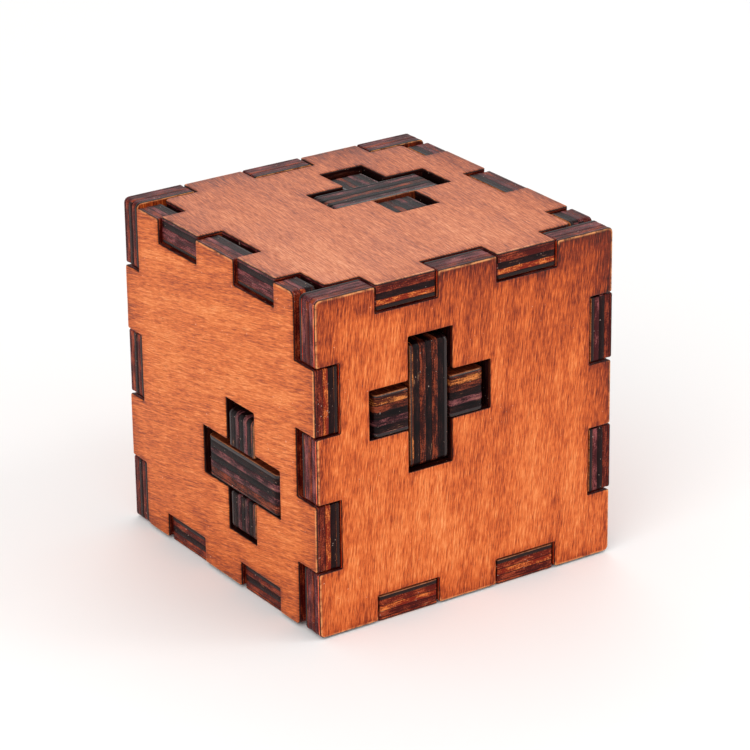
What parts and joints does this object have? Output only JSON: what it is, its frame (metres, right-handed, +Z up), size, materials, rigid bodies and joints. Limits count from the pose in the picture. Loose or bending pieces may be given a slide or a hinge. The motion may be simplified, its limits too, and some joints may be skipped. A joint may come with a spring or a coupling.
{
  "type": "caged board burr puzzle",
  "caption": "Cube-shaped plywood burr puzzle: finger-jointed panels with cross-shaped windows round interlocked sliding slats.",
  "frame": {"origin": "middle of the underside of the closed cube, on the surface it stands on", "axes": "+Z up, -Y out of the front face, +X to the right seen from the front"},
  "size_m": [0.08, 0.08, 0.08],
  "materials": {
    "end_panel_ply": "glossy red-brown stained and varnished birch plywood, grain upright, laser-charred edges",
    "side_panel_ply": "satin orange-brown stained and varnished birch plywood, grain along the depth, laser-charred edges",
    "lid_panel_ply": "satin pink-brown stained and varnished birch plywood, grain along the depth, laser-charred edges",
    "slat_ply": "dark red-brown stained and varnished birch plywood, laser-charred ends and edges"
  },
  "bodies": {
    "cage": {"front_panel": "end_panel_ply", "back_panel": "end_panel_ply", "left_panel": "side_panel_ply", "right_panel": "side_panel_ply", "top_panel": "lid_panel_ply", "bottom_panel": "lid_panel_ply"},
    "front_locked_slat": {"front_locked_slat": "slat_ply"},
    "back_key_slat": {"back_key_slat": "slat_ply"},
    "left_locked_slat": {"left_locked_slat": "slat_ply"},
    "right_key_slat": {"right_key_slat": "slat_ply"},
    "top_locked_slat": {"top_locked_slat": "slat_ply"},
    "bottom_key_slat": {"bottom_key_slat": "slat_ply"}
  },
  "joints": [
    {"name": "front_slat_slide", "type": "slide", "parent": "cage", "child": "front_locked_slat", "axis": [0, -1, 0], "range_m": [0, 0.0095]},
    {"name": "left_slat_slide", "type": "slide", "parent": "cage", "child": "left_locked_slat", "axis": [-1, 0, 0], "range_m": [0, 0.0095]},
    {"name": "top_slat_slide", "type": "slide", "parent": "cage", "child": "top_locked_slat", "axis": [0, 0, 1], "range_m": [0, 0.0095]},
    {"name": "back_slat_slide", "type": "slide", "parent": "cage", "child": "back_key_slat", "axis": [0, 1, 0], "range_m": [0, 0.082]},
    {"name": "right_slat_slide", "type": "slide", "parent": "cage", "child": "right_key_slat", "axis": [1, 0, 0], "range_m": [0, 0.082]},
    {"name": "bottom_slat_slide", "type": "slide", "parent": "cage", "child": "bottom_key_slat", "axis": [0, 0, -1], "range_m": [0, 0.082]}
  ]
}
